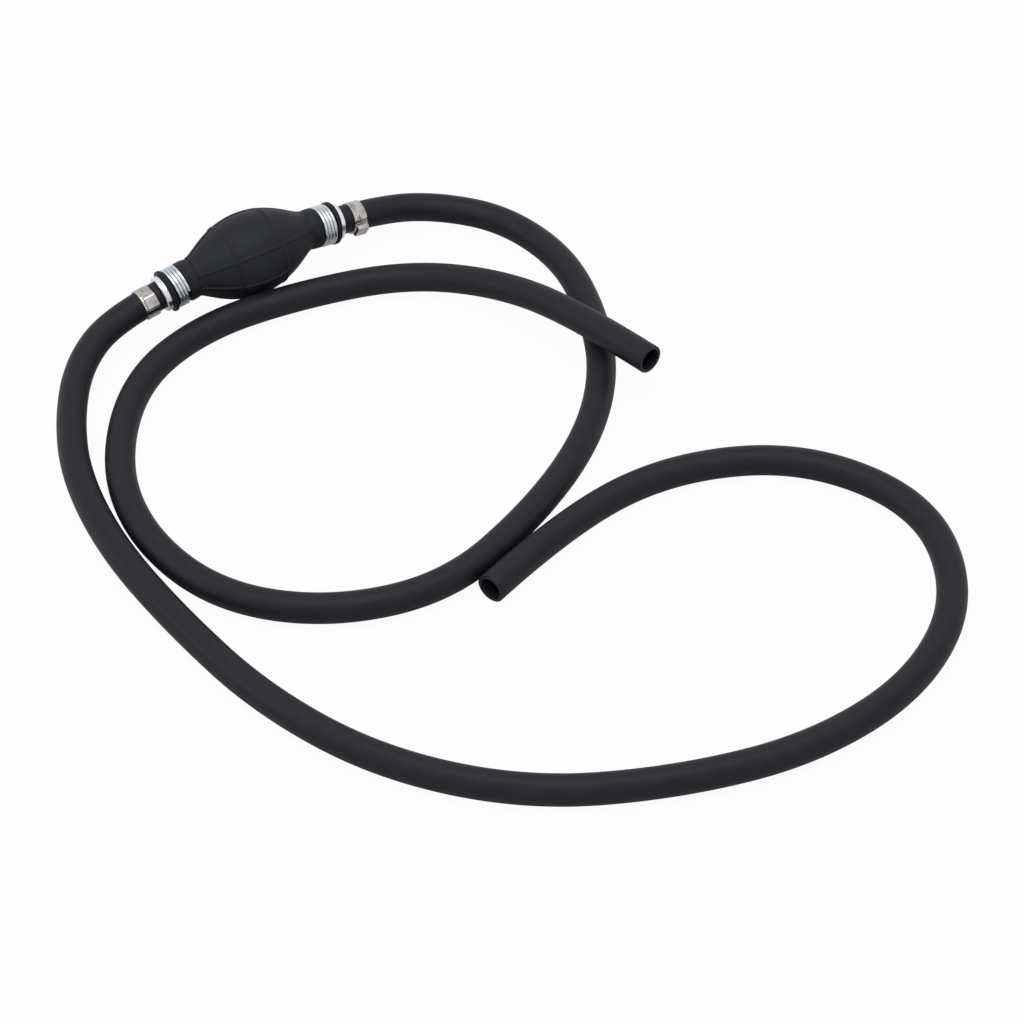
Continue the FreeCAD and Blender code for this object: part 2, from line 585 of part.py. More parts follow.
def arc_from(start, way, end):
    """Arc that leaves start along way and ends at end."""
    chord = end - start
    along = FreeCAD.Vector(chord).normalize()
    way = FreeCAD.Vector(way).normalize()
    aside = way - along * way.dot(along)
    half_angle = math.acos(max(-1.0, min(1.0, way.dot(along))))
    rise = chord.Length / 2 * math.tan(half_angle / 2)
    middle = (start + end) * 0.5 + aside.normalize() * rise
    return Part.Arc(start, middle, end).toShape()


def wound_wire(radius, pitch, turns, start_angle, first, wire, ends_straight):
    """Round wire wound about X: one tube swept along arcs of a quarter turn or less."""
    quarters = int(math.ceil(turns * 4))
    points = []
    ways = []
    for quarter in range(quarters + 1):
        turned = min(quarter / 4, turns)
        angle = math.radians(start_angle + 360 * turned)
        points.append(FreeCAD.Vector(first + pitch * turned, radius * math.cos(angle),
                                     radius * math.sin(angle)))
        ways.append(FreeCAD.Vector(pitch, -2 * math.pi * radius * math.sin(angle),
                                   2 * math.pi * radius * math.cos(angle)).normalize())
    edges = []
    for index in range(quarters):
        edges += biarc(points[index], ways[index], points[index + 1], ways[index + 1])
    start = points[0]
    if ends_straight:
        start = points[0] - ways[0] * wire
        edges.insert(0, Part.LineSegment(start, points[0]).toShape())
        edges.append(Part.LineSegment(points[-1], points[-1] + ways[-1] * wire).toShape())
    path = Part.Wire(edges)
    section = Part.Wire([Part.Circle(start, ways[0], wire / 2).toShape()])
    tube = path.makePipeShell([section], True, False)
    gap = min((path_point(radius, pitch, start_angle, first, step / 36)
               - path_point(radius, pitch, start_angle, first, step / 36 + 1)).Length
              for step in range(int((turns - 1) * 36))) - wire
    return tube, gap


def path_point(radius, pitch, start_angle, first, turned):
    angle = math.radians(start_angle + 360 * turned)
    return FreeCAD.Vector(first + pitch * turned, radius * math.cos(angle),
                          radius * math.sin(angle))


def make_wire_clamp(side):
    wire = number("Sizes.wire_diameter")
    shape, gap = wound_wire(
        number("Sizes.seat_radius + Sizes.wire_diameter / 2 - Sizes.wire_bite"),
        number("Sizes.wire_pitch"), number("Sizes.wire_turns"), number(f"Sizes.{side}_wire_start"),
        number(f"{SEAT_START} + Sizes.wire_side_gap + Sizes.wire_diameter / 2"), wire, True)
    print(f"{side}_wire_clamp: least gap between turns {gap:.2f} mm")
    return set_shape(f"{side}_wire_clamp", shape, NECK_FRAME[side])


def make_valve_spring(side):
    wire = number("Sizes.spring_wire")
    turns = number("Sizes.spring_turns")
    first = number(f"{HEAD_END} + Sizes.spring_end_gap + Sizes.spring_wire / 2")
    last = number(f"{GUIDE_START} - Sizes.spring_end_gap - Sizes.spring_wire / 2")
    radius = number("Sizes.stem_radius + Sizes.spring_clearance + Sizes.spring_wire / 2")
    shape, gap = wound_wire(radius, (last - first) / turns, turns, 0.0, first, wire, False)
    print(f"{side}_valve_spring: least gap between turns {gap:.2f} mm")
    return set_shape(f"{side}_valve_spring", shape, VALVE_FRAME[side])


def set_shape(name, shape, frame):
    feature = document.addObject("Part::Feature", name)
    feature.Label = name
    feature.Shape = shape
    feature.setExpression("Placement", frame)
    return feature


def hose_route(side):
    """The route's points: two in line with the neck, then those chosen by hand."""
    document.recompute()
    frame = sheet.evalExpression(NECK_FRAME[side])
    start = number(FLANGE_END)
    leads = [frame.multVec(FreeCAD.Vector(start, 0, 0)),
             frame.multVec(FreeCAD.Vector(start + number("Sizes.hose_lead"), 0, 0))]
    chosen = INLET_ROUTE if side == "inlet" else OUTLET_ROUTE
    return leads + [FreeCAD.Vector(*point) for point in chosen]


ARC_SHARE = 0.45


def route_path(points):
    """Straight runs joined by tangent arcs, as large as the runs allow, and their radii."""
    edges = []
    radii = []
    reached = points[0]
    for before, here, after in zip(points, points[1:], points[2:]):
        way_in = (here - before).normalize()
        way_out = (after - here).normalize()
        trim = ARC_SHARE * min((here - before).Length, (after - here).Length)
        turn = way_in.getAngle(way_out)
        radius = trim / math.tan(turn / 2)
        radii.append(radius)
        arc_start = here - way_in * trim
        arc_end = here + way_out * trim
        inward = (way_out - way_in).normalize()
        middle = here + inward * radius * (1 / math.cos(turn / 2) - 1)
        edges.append(Part.LineSegment(reached, arc_start).toShape())
        edges.append(Part.Arc(arc_start, middle, arc_end).toShape())
        reached = arc_end
    edges.append(Part.LineSegment(reached, points[-1]).toShape())
    return Part.Wire(edges), radii


def make_hose(side):
    points = hose_route(side)
    path, radii = route_path(points)
    way = (points[1] - points[0]).normalize()
    tubes = []
    for diameter in (number("Sizes.hose_diameter"), number("Sizes.hose_bore")):
        section = Part.Wire([Part.Circle(points[0], way, diameter / 2).toShape()])
        tubes.append(path.makePipeShell([section], True, False))
    shape = tubes[0].cut(tubes[1])
    area = number("pi / 4 * (Sizes.hose_diameter ^ 2 - Sizes.hose_bore ^ 2)")
    print(f"{side}_hose: length {path.Length:.0f} mm, volume over section times length "
          f"{shape.Volume / (area * path.Length):.4f}, radii "
          + " ".join(f"{radius:.0f}" for radius in radii))
    name = f"{side}_hose"
    feature = document.addObject("Part::Feature", name)
    feature.Label = name
    feature.Shape = shape
    return feature


pieces = [make_squeeze_bulb()]
for side in SIDES:
    pieces += [
        make_valve_body(side), make_seat_ring(side), make_poppet(side), make_poppet_seal(side),
        make_valve_spring(side), make_valve_guide(side), make_circlip(side),
        make_wire_clamp(side), make_ear_clamp(side), make_hose(side),
    ]
document.recompute()

faults = [item.Label for item in document.Objects
          if "Invalid" in item.State or "Error" in item.State]
faults += [piece.Label for piece in pieces
           if piece.Shape.isNull() or not piece.Shape.isValid() or not piece.Shape.Solids]
if faults:
    raise SystemExit(f"not made: {faults}")
os.makedirs("parts", exist_ok=True)
for piece in pieces:
    piece.Shape.exportStep(os.path.join("parts", f"{piece.Label}.step"))
    print(f"{piece.Label}: {len(piece.Shape.Solids)} solid, {piece.Shape.Volume:.1f} mm3")
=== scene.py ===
"""Looks of a siphon bulb pump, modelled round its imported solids.

A ribbed rubber squeeze bulb has a neck at each end. A wire clamp closes each neck on its valve
body, an ear clamp holds a hose on each spigot, and the two hoses lie loose on the floor.
Lengths are in metres, and sizes that are angles are in degrees. +X runs along the bulb from the
inlet to the outlet, and +Z is up.
"""

import json
import logging
import math
from collections.abc import Callable, Iterator, Sequence
from contextlib import contextmanager
from dataclasses import dataclass, field
from enum import Enum
from itertools import pairwise

import bmesh
import bpy
from mathutils import Euler, Matrix, Vector

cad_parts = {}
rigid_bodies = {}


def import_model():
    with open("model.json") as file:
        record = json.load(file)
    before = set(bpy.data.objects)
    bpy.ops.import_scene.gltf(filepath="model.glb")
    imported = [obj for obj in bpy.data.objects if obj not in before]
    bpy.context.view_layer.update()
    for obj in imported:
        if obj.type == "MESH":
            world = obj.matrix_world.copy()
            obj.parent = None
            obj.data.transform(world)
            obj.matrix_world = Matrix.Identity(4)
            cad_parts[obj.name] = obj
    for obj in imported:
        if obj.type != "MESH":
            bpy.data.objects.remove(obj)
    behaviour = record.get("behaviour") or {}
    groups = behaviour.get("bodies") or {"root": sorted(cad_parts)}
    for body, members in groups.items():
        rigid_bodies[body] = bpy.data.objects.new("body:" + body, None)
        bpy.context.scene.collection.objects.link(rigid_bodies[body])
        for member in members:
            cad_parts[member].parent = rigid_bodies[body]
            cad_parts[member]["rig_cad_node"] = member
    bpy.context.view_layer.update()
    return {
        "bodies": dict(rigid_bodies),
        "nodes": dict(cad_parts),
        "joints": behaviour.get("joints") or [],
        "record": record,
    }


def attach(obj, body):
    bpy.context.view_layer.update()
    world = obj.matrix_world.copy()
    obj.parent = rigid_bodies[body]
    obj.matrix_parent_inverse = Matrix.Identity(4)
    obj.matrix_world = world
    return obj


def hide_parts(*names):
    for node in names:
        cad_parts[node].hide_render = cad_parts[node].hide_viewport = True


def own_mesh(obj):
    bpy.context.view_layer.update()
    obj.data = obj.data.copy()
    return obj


LOG = logging.getLogger("siphon_bulb_pump")
X_AXIS = (1.0, 0.0, 0.0)
MM = 0.001
AXIS_HEIGHT = 20.8 * MM
NECK_BEND = 30.0 * MM
DROOP = 8.0
SEAT_RADIUS = 8.45 * MM
LIP_START = 14.8 * MM
WELD = 0.001 * MM
TOUCH = 0.01 * MM
ROUNDING_STEPS = 4
COIL_SIDES = 20
COIL_STEPS = 72
Triple = tuple[float, float, float]
Picked = bmesh.types.BMVert | bmesh.types.BMEdge | bmesh.types.BMFace


class Side(Enum):
    """Which end of the bulb a piece belongs to."""

    INLET = "inlet"
    OUTLET = "outlet"

    def frame(self) -> Matrix:
        """Frame of this side's neck: +X outwards along it, from its bend."""
        outlet = self is Side.OUTLET
        droop = math.radians(DROOP)
        place = Vector((NECK_BEND if outlet else -NECK_BEND, 0.0, AXIS_HEIGHT))
        turn = droop if outlet else math.pi - droop
        return Matrix.Translation(place) @ Matrix.Rotation(turn, 4, "Y")

    def collar_end(self) -> float:
        """Where the collar of this side's neck ends and the wire clamp's seat starts."""
        return (6.8 if self is Side.OUTLET else 7.1) * MM


class Element(Enum):
    """Kind of mesh element that is picked in edit mode."""

    VERT = "verts"
    EDGE = "edges"
    FACE = "faces"


class Slot(Enum):
    """Material slot of the record that a piece takes its finish from."""

    BULB_RUBBER = "bulb_rubber"
    HOSE_RUBBER = "hose_rubber"
    STAINLESS_STRIP = "stainless_strip"
    ZINC_WIRE = "zinc_wire"
    BRIGHT_ALLOY = "bright_alloy"
    TURNED_BRASS = "turned_brass"
    SEAL_RUBBER = "seal_rubber"
    SPRING_STEEL = "spring_steel"
    GUIDE_PLASTIC = "guide_plastic"


@dataclass(frozen=True)
class Corner:
    """Corner of a turned outline: its place along the axis, its radius and its rounding."""

    along: float
    out: float
    rounding: float = 0.0

    def place(self) -> Vector:
        """The corner as a point above the axis."""
        return Vector((self.along, 0.0, self.out))


# Modelling in edit mode


def stand_down() -> None:
    """Leaves edit mode with nothing selected."""
    if bpy.context.object and bpy.context.object.mode != "OBJECT":
        bpy.ops.object.mode_set(mode="OBJECT")
    bpy.ops.object.select_all(action="DESELECT")


def take(piece: bpy.types.Object) -> None:
    """Makes a piece the only one selected, and active."""
    stand_down()
    piece.select_set(True)
    bpy.context.view_layer.objects.active = piece


@contextmanager
def editing(piece: bpy.types.Object) -> Iterator[None]:
    """Opens a piece in edit mode with nothing selected, and closes it again.

    Args:
        piece: the mesh object to edit.
    """
    take(piece)
    bpy.ops.object.mode_set(mode="EDIT")
    bpy.ops.mesh.select_mode(type="VERT")
    bpy.ops.mesh.select_all(action="DESELECT")
    yield
    bpy.ops.object.mode_set(mode="OBJECT")


def pick(kind: Element, test: Callable[[Picked], bool]) -> int:
    """Selects the elements of the piece in edit mode that pass a test, and nothing else.

    Args:
        kind: vertices, edges or faces.
        test: says whether an element is wanted.

    Returns:
        How many were selected.
    """
    bpy.ops.mesh.select_mode(type=kind.name)
    bpy.ops.mesh.select_all(action="DESELECT")
    data = bpy.context.edit_object.data
    mesh = bmesh.from_edit_mesh(data)
    wanted = [element for element in getattr(mesh, kind.value) if test(element)]
    for element in wanted:
        element.select_set(True)
    mesh.select_flush_mode()
    bmesh.update_edit_mesh(data)
    return len(wanted)


def apply_modifiers(piece: bpy.types.Object) -> None:
    """Applies every modifier of a piece, in order."""
    take(piece)
    for modifier in list(piece.modifiers):
        bpy.ops.object.modifier_apply(modifier=modifier.name)


def give_wall(sheet: bpy.types.Object, thickness: float, side: float, edge: float,
              sharp: float) -> None:
    """Gives a sheet a wall and breaks the wall's sharp edges.

    Args:
        sheet: the sheet.
        thickness: thickness of the wall.
        side: 1 for a wall outside the sheet, -1 for one inside it.
        edge: width of the broken edges.
        sharp: angle past which an edge is broken.
    """
    wall = sheet.modifiers.new("wall", "SOLIDIFY")
    wall.thickness = thickness
    wall.offset = side
    rim = sheet.modifiers.new("rim", "BEVEL")
    rim.width = edge
    rim.segments = 2
    rim.limit_method = "ANGLE"
    rim.angle_limit = math.radians(sharp)
    apply_modifiers(sheet)


def settle(piece: bpy.types.Object, frame: Matrix) -> None:
    """Moves a piece into a frame and puts that place into its mesh."""
    take(piece)
    piece.matrix_world = frame @ piece.matrix_world
    bpy.ops.object.transform_apply(location=True, rotation=True, scale=True)


def smooth(piece: bpy.types.Object, angle: float = 40.0) -> None:
    """Shades a piece smooth, except across edges sharper than the angle."""
    take(piece)
    bpy.ops.object.shade_smooth_by_angle(angle=math.radians(angle))


def joined(pieces: Sequence[bpy.types.Object], name: str) -> bpy.types.Object:
    """Joins pieces into one.

    Args:
        pieces: the pieces, of which the first takes in the rest.
        name: name of the joined piece.

    Returns:
        The joined piece.
    """
    take(pieces[0])
    for piece in pieces[1:]:
        piece.select_set(True)
    bpy.ops.object.join()
    pieces[0].name = pieces[0].data.name = name
    return pieces[0]


def tidy_normals() -> None:
    """Merges doubles and turns every face outwards, in edit mode."""
    bpy.ops.mesh.select_all(action="SELECT")
    bpy.ops.mesh.remove_doubles(threshold=WELD)
    bpy.ops.mesh.normals_make_consistent(inside=False)


def drawn(name: str, corners: Sequence[Corner], closed: bool) -> bpy.types.Object:
    """Outline above the X axis: one point extruded from corner to corner, then rounded.

    Args:
        name: name of the new piece.
        corners: the outline's corners, in order.
        closed: whether the last corner joins the first.

    Returns:
        The outline, as a mesh of edges.
    """
    stand_down()
    bpy.ops.mesh.primitive_plane_add(size=MM)
    piece = bpy.context.object
    piece.name = piece.data.name = name
    with editing(piece):
        bpy.ops.mesh.select_all(action="SELECT")
        bpy.ops.mesh.merge(type="CENTER")
        bpy.ops.transform.translate(value=corners[0].place())
        for here, there in pairwise([*corners, corners[0]] if closed else corners):
            step = there.place() - here.place()
            bpy.ops.mesh.extrude_vertices_move(TRANSFORM_OT_translate={"value": step})
        bpy.ops.mesh.select_all(action="SELECT")
        bpy.ops.mesh.remove_doubles(threshold=WELD)
        for corner in corners:
            if corner.rounding:
                pick(Element.VERT, lambda vert, c=corner: (vert.co - c.place()).length < TOUCH)
                bpy.ops.mesh.bevel(offset=corner.rounding, segments=ROUNDING_STEPS,
                                   affect="VERTICES")
    return piece


def turned(name: str, corners: Sequence[Corner], steps: int,
           closed: bool = True) -> bpy.types.Object:
    """Piece turned about the X axis from its outline.

    Args:
        name: name of the new piece.
        corners: corners of the outline.
        steps: faces round the axis.
        closed: whether the outline is closed, so that the piece is a ring.

    Returns:
        The turned piece.
    """
    piece = drawn(name, corners, closed)
    with editing(piece):
        bpy.ops.mesh.select_all(action="SELECT")
        bpy.ops.mesh.spin(steps=steps, angle=math.tau, center=(0, 0, 0), axis=X_AXIS)
        tidy_normals()
    return piece


def wound(name: str, wire: float, out: float, first: float, pitch: float,
          turns: float) -> bpy.types.Object:
    """Round wire wound about the X axis, with closed ends.

    Args:
        name: name of the new piece.
        wire: diameter of the wire.
        out: radius of the winding, at the wire's middle.
        first: where the wire's middle starts along the axis.
        pitch: from one turn to the next.
        turns: how many turns.

    Returns:
        The coil.
    """
    stand_down()
    bpy.ops.mesh.primitive_circle_add(vertices=COIL_SIDES, radius=wire / 2,
                                      location=(first, 0.0, out),
                                      rotation=(math.pi / 2, 0.0, 0.0))
    coil = bpy.context.object
    coil.name = coil.data.name = name
    settle(coil, Matrix.Identity(4))
    wind = coil.modifiers.new("wind", "SCREW")
    wind.axis = "X"
    wind.angle = math.tau * turns
    wind.screw_offset = pitch * turns
    wind.steps = wind.render_steps = round(COIL_STEPS * turns)
    wind.use_merge_vertices = False
    apply_modifiers(coil)
    with editing(coil):
        bpy.ops.mesh.select_all(action="SELECT")
        bpy.ops.mesh.fill_holes(sides=COIL_SIDES)
        tidy_normals()
    return coil


def is_coil_end(face: bmesh.types.BMFace) -> bool:
    """Whether a face closes an end of a coil, and isn't one of the quads along it."""
    return len(face.verts) > 4


# Materials


def computed(tree: bpy.types.NodeTree, operation: str,
             *values: bpy.types.NodeSocket | float) -> bpy.types.NodeSocket:
    """Adds a math node.

    Args:
        tree: the tree to add it to.
        operation: what it computes.
        values: its inputs in order, each a socket to link or a number.

    Returns:
        Its result.
    """
    node = tree.nodes.new("ShaderNodeMath")
    node.operation = operation
    for target, value in zip(node.inputs, values):
        if isinstance(value, bpy.types.NodeSocket):
            tree.links.new(value, target)
        else:
            target.default_value = value
    return node.outputs[0]


def seen_rays(tree: bpy.types.NodeTree) -> bpy.types.NodeSocket:
    """Adds a value to a node tree that is 1 for camera, glossy and transmission rays.

    Args:
        tree: the tree to add it to.

    Returns:
        The value's socket.
    """
    path = tree.nodes.new("ShaderNodeLightPath")
    total = path.outputs["Is Camera Ray"]
    for name in ("Is Glossy Ray", "Is Transmission Ray"):
        total = computed(tree, "MAXIMUM", total, path.outputs[name])
    return total


def mix_to_surface(tree: bpy.types.NodeTree, share: bpy.types.NodeSocket,
                   first: bpy.types.Node, second: bpy.types.Node) -> None:
    """Mixes two shaders and makes the mix the tree's surface.

    Args:
        tree: the tree that both are in.
        share: how much of the second, from 0 to 1.
        first: the shader at 0.
        second: the shader at 1.
    """
    mix = tree.nodes.new("ShaderNodeMixShader")
    for source, target in zip((share, first.outputs[0], second.outputs[0]), mix.inputs):
        tree.links.new(source, target)
    output = next(node for node in tree.nodes if node.type.startswith("OUTPUT"))
    tree.links.new(mix.outputs[0], output.inputs["Surface"])


class NodeSheet:
    """Node tree of one material, with its shader and output in place."""

    def __init__(self, name: str) -> None:
        """Makes the material and keeps its nodes, links and shader."""
        self.material = bpy.data.materials.new(name)
        self.material.use_nodes = True
        self.tree = self.material.node_tree
        self.shader = self.tree.nodes["Principled BSDF"]
        self.coordinates = self.add("ShaderNodeTexCoord")

    def add(self, kind: str, **values: object) -> bpy.types.Node:
        """Adds a node and sets its properties and its inputs by name.

        Args:
            kind: the node's type.
            values: properties, or inputs with underscores for spaces.

        Returns:
            The node.
        """
        node = self.tree.nodes.new(kind)
        for key, value in values.items():
            if hasattr(node, key):
                setattr(node, key, value)
            else:
                node.inputs[key.replace("_", " ")].default_value = value
        return node

    def link(self, source: bpy.types.NodeSocket, target: bpy.types.NodeSocket) -> None:
        """Links an output to an input."""
        self.tree.links.new(source, target)

    def noise(self, scale: float, detail: float,
              stretch: Triple | None = None) -> bpy.types.NodeSocket:
        """Noise on the piece's own coordinates.

        Args:
            scale: features per metre.
            detail: octaves.
            stretch: scale along each axis, for grain that runs one way.

        Returns:
            The noise's value, from 0 to 1.
        """
        noise = self.add("ShaderNodeTexNoise", Scale=scale, Detail=detail)
        source = self.coordinates.outputs["Object"]
        if stretch is not None:
            mapping = self.add("ShaderNodeMapping", Scale=stretch)
            self.link(source, mapping.inputs["Vector"])
            source = mapping.outputs["Vector"]
        self.link(source, noise.inputs["Vector"])
        return noise.outputs["Fac"]

    def spread(self, value: bpy.types.NodeSocket, low: float, high: float,
               start: float = 0.3, end: float = 0.7) -> bpy.types.NodeSocket:
        """Maps a noise value to a range.

        Args:
            value: the noise.
            low: result at start and below.
            high: result at end and above.
            start: lower end of the noise that is used.
            end: upper end of it.

        Returns:
            The mapped value.
        """
        ramp = self.add("ShaderNodeMapRange", From_Min=start, From_Max=end, To_Min=low,
                        To_Max=high)
        self.link(value, ramp.inputs["Value"])
        return ramp.outputs["Result"]

    def blend(self, share: bpy.types.NodeSocket, first: Triple,
              second: Triple) -> bpy.types.NodeSocket:
        """Mixes two colours by a share from 0 to 1.

        Args:
            share: how much of the second.
            first: colour at 0.
            second: colour at 1.

        Returns:
            The mixed colour.
        """
        mix = self.add("ShaderNodeMix", data_type="RGBA")
        sockets = [socket for socket in mix.inputs if socket.type == "RGBA"]
        for socket, colour in zip(sockets, (first, second)):
            socket.default_value = (*colour, 1.0)
        self.link(share, mix.inputs["Factor"])
        return next(socket for socket in mix.outputs if socket.type == "RGBA")

    def relief(self, layers: Sequence[tuple[bpy.types.NodeSocket, float]]) -> None:
        """Chains bumps into the shader's normal.

        Args:
            layers: each a height from 0 to 1 and its depth in metres.
        """
        normal = None
        for height, depth in layers:
            bump = self.add("ShaderNodeBump", Distance=depth)
            self.link(height, bump.inputs["Height"])
            if normal is not None:
                self.link(normal, bump.inputs["Normal"])
            normal = bump.outputs["Normal"]
        self.link(normal, self.shader.inputs["Normal"])


# Finishes


@dataclass(frozen=True)
class RubberFinish:
    """Moulded or extruded black rubber: mottled, faintly dusty and finely grained."""

    name: str
    deep: Triple
    worn: Triple
    roughness: tuple[float, float] = (0.5, 0.64)
    specular: float = 0.2
    mottle_scale: float = 70.0
    mottle_edges: tuple[float, float] = (0.5, 0.9)
    mottle_depth: float = 0.06 * MM
    dust_scale: float = 630.0
    dust_share: float = 0.35
    grain_scale: float = 2600.0
    grain_depth: float = 0.02 * MM

    def make(self) -> bpy.types.Material:
        """The finish as a material."""
        sheet = NodeSheet(self.name)
        mottle = sheet.noise(self.mottle_scale, detail=5.0)
        dust = sheet.noise(self.dust_scale, detail=3.0)
        grain = sheet.noise(self.grain_scale, detail=2.0)
        mixed = computed(sheet.tree, "MULTIPLY_ADD", dust, self.dust_share, mottle)
        share = sheet.spread(mixed, 0.0, 1.0, *self.mottle_edges)
        sheet.link(sheet.blend(share, self.deep, self.worn), sheet.shader.inputs["Base Color"])
        sheet.link(sheet.spread(mottle, *self.roughness), sheet.shader.inputs["Roughness"])
        sheet.shader.inputs["Specular IOR Level"].default_value = self.specular
        sheet.relief(((mottle, self.mottle_depth), (grain, self.grain_depth)))
        return sheet.material


@dataclass(frozen=True)
class MetalFinish:
    """Bright metal with streaks along the way it was drawn, rolled or turned."""

    name: str
    bright: Triple
    dull: Triple
    roughness: tuple[float, float]
    streaks: Triple = (4.0, 0.3, 0.3)
    streak_scale: float = 900.0
    streak_depth: float = 0.012 * MM
    cloud_scale: float = 260.0
    cloud_edges: tuple[float, float] = (0.42, 0.68)
    pit_scale: float = 1900.0
    pit_depth: float = 0.006 * MM

    def make(self) -> bpy.types.Material:
        """The finish as a material."""
        sheet = NodeSheet(self.name)
        streak = sheet.noise(self.streak_scale, detail=3.0, stretch=self.streaks)
        cloud = sheet.noise(self.cloud_scale, detail=4.0)
        pits = sheet.noise(self.pit_scale, detail=2.0)
        share = sheet.spread(cloud, 0.0, 1.0, *self.cloud_edges)
        sheet.link(sheet.blend(share, self.bright, self.dull), sheet.shader.inputs["Base Color"])
        sheet.link(sheet.spread(streak, *self.roughness), sheet.shader.inputs["Roughness"])
        sheet.shader.inputs["Metallic"].default_value = 1.0
        sheet.relief(((streak, self.streak_depth), (pits, self.pit_depth)))
        return sheet.material


@dataclass(frozen=True)
class PlasticFinish:
    """Natural moulded plastic with a faint bloom."""

    name: str
    colour: Triple
    bloom: Triple
    roughness: tuple[float, float] = (0.38, 0.5)
    bloom_scale: float = 500.0
    grain_scale: float = 3000.0
    grain_depth: float = 0.01 * MM

    def make(self) -> bpy.types.Material:
        """The finish as a material."""
        sheet = NodeSheet(self.name)
        bloom = sheet.noise(self.bloom_scale, detail=4.0)
        sheet.link(sheet.blend(sheet.spread(bloom, 0.0, 1.0), self.colour, self.bloom),
                   sheet.shader.inputs["Base Color"])
        sheet.link(sheet.spread(bloom, *self.roughness), sheet.shader.inputs["Roughness"])
        sheet.relief(((sheet.noise(self.grain_scale, detail=2.0), self.grain_depth),))
        return sheet.material


class Finishes:
    """Every finish of the pump, made once, by the record's slot."""

    def __init__(self) -> None:
        """Makes the materials."""
        dark_bulb = (0.0100, 0.0108, 0.0150)
        worn_bulb = (0.0168, 0.0178, 0.0230)
        dark_hose = (0.0085, 0.0090, 0.0132)
        worn_hose = (0.0135, 0.0142, 0.0192)
        self.materials = {
            Slot.BULB_RUBBER: RubberFinish("bulb rubber", dark_bulb, worn_bulb).make(),
            Slot.HOSE_RUBBER: RubberFinish("hose rubber", dark_hose, worn_hose,
                                           roughness=(0.46, 0.58)).make(),
            Slot.SEAL_RUBBER: RubberFinish("seal rubber", dark_bulb, dark_hose,
                                           roughness=(0.3, 0.4)).make(),
            Slot.STAINLESS_STRIP: MetalFinish("stainless strip", (0.50, 0.475, 0.46),
                                              (0.31, 0.29, 0.28), (0.12, 0.25)).make(),
            Slot.ZINC_WIRE: MetalFinish("zinc wire", (0.61, 0.64, 0.68), (0.47, 0.51, 0.55),
                                        (0.24, 0.36)).make(),
            Slot.BRIGHT_ALLOY: MetalFinish("bright alloy", (0.76, 0.77, 0.81),
                                           (0.62, 0.63, 0.68), (0.18, 0.32)).make(),
            Slot.TURNED_BRASS: MetalFinish("turned brass", (0.78, 0.60, 0.28),
                                           (0.62, 0.46, 0.2), (0.2, 0.34)).make(),
            Slot.SPRING_STEEL: MetalFinish("spring steel", (0.62, 0.62, 0.63),
                                           (0.5, 0.5, 0.52), (0.22, 0.36)).make(),
            Slot.GUIDE_PLASTIC: PlasticFinish("guide plastic", (0.76, 0.74, 0.69),
                                              (0.84, 0.83, 0.8)).make(),
        }

    def dress(self, piece: bpy.types.Object, slot: Slot) -> None:
        """Gives a piece the finish of a slot."""
        piece.data.materials.clear()
        piece.data.materials.append(self.materials[slot])


# Camera, light and floor


@dataclass(frozen=True)
class Lamp:
    """Square area lamp and the place it points at, in metres and watts."""

    name: str
    place: Triple
    aim: Triple
    size: float
    power: float

    def hang(self) -> None:
        """Adds the lamp."""
        stand_down()
        way = Vector(self.aim) - Vector(self.place)
        bpy.ops.object.light_add(type="AREA", location=self.place,
                                 rotation=way.to_track_quat("-Z", "Y").to_euler())
        lamp = bpy.context.object
        lamp.name = lamp.data.name = self.name
        lamp.data.size = self.size
        lamp.data.energy = self.power


